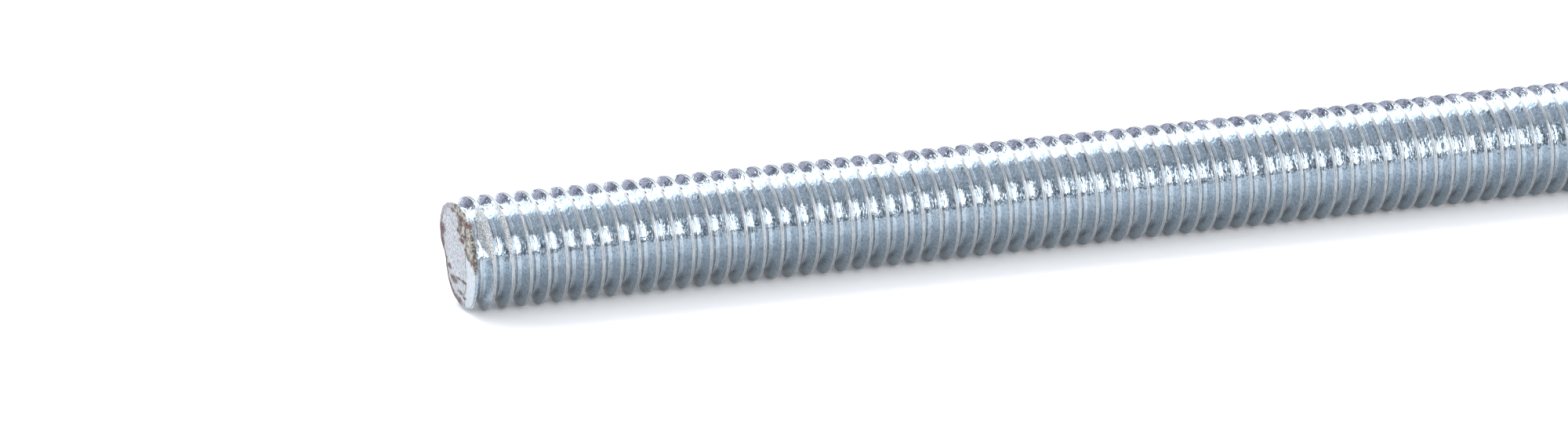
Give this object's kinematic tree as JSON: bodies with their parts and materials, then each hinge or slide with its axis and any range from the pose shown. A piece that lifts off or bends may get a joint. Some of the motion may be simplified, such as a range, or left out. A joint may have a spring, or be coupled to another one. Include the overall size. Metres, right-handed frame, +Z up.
{
  "type": "threaded rod",
  "caption": "Straight zinc-plated steel rod with a right-hand thread along its whole length, sheared off at the near end.",
  "frame": {"origin": "on the rod's axis, halfway along its length", "axes": "+X along the axis from the sheared end to the square end, +Z up with the rod lying on its side"},
  "size_m": [0.06, 0.0048, 0.0048],
  "materials": {
    "zinc_steel": "bright zinc plating with a faint blue passivation, finely mottled, rust on the sheared end"
  },
  "bodies": {
    "root": {"rod": "zinc_steel"}
  },
  "joints": []
}
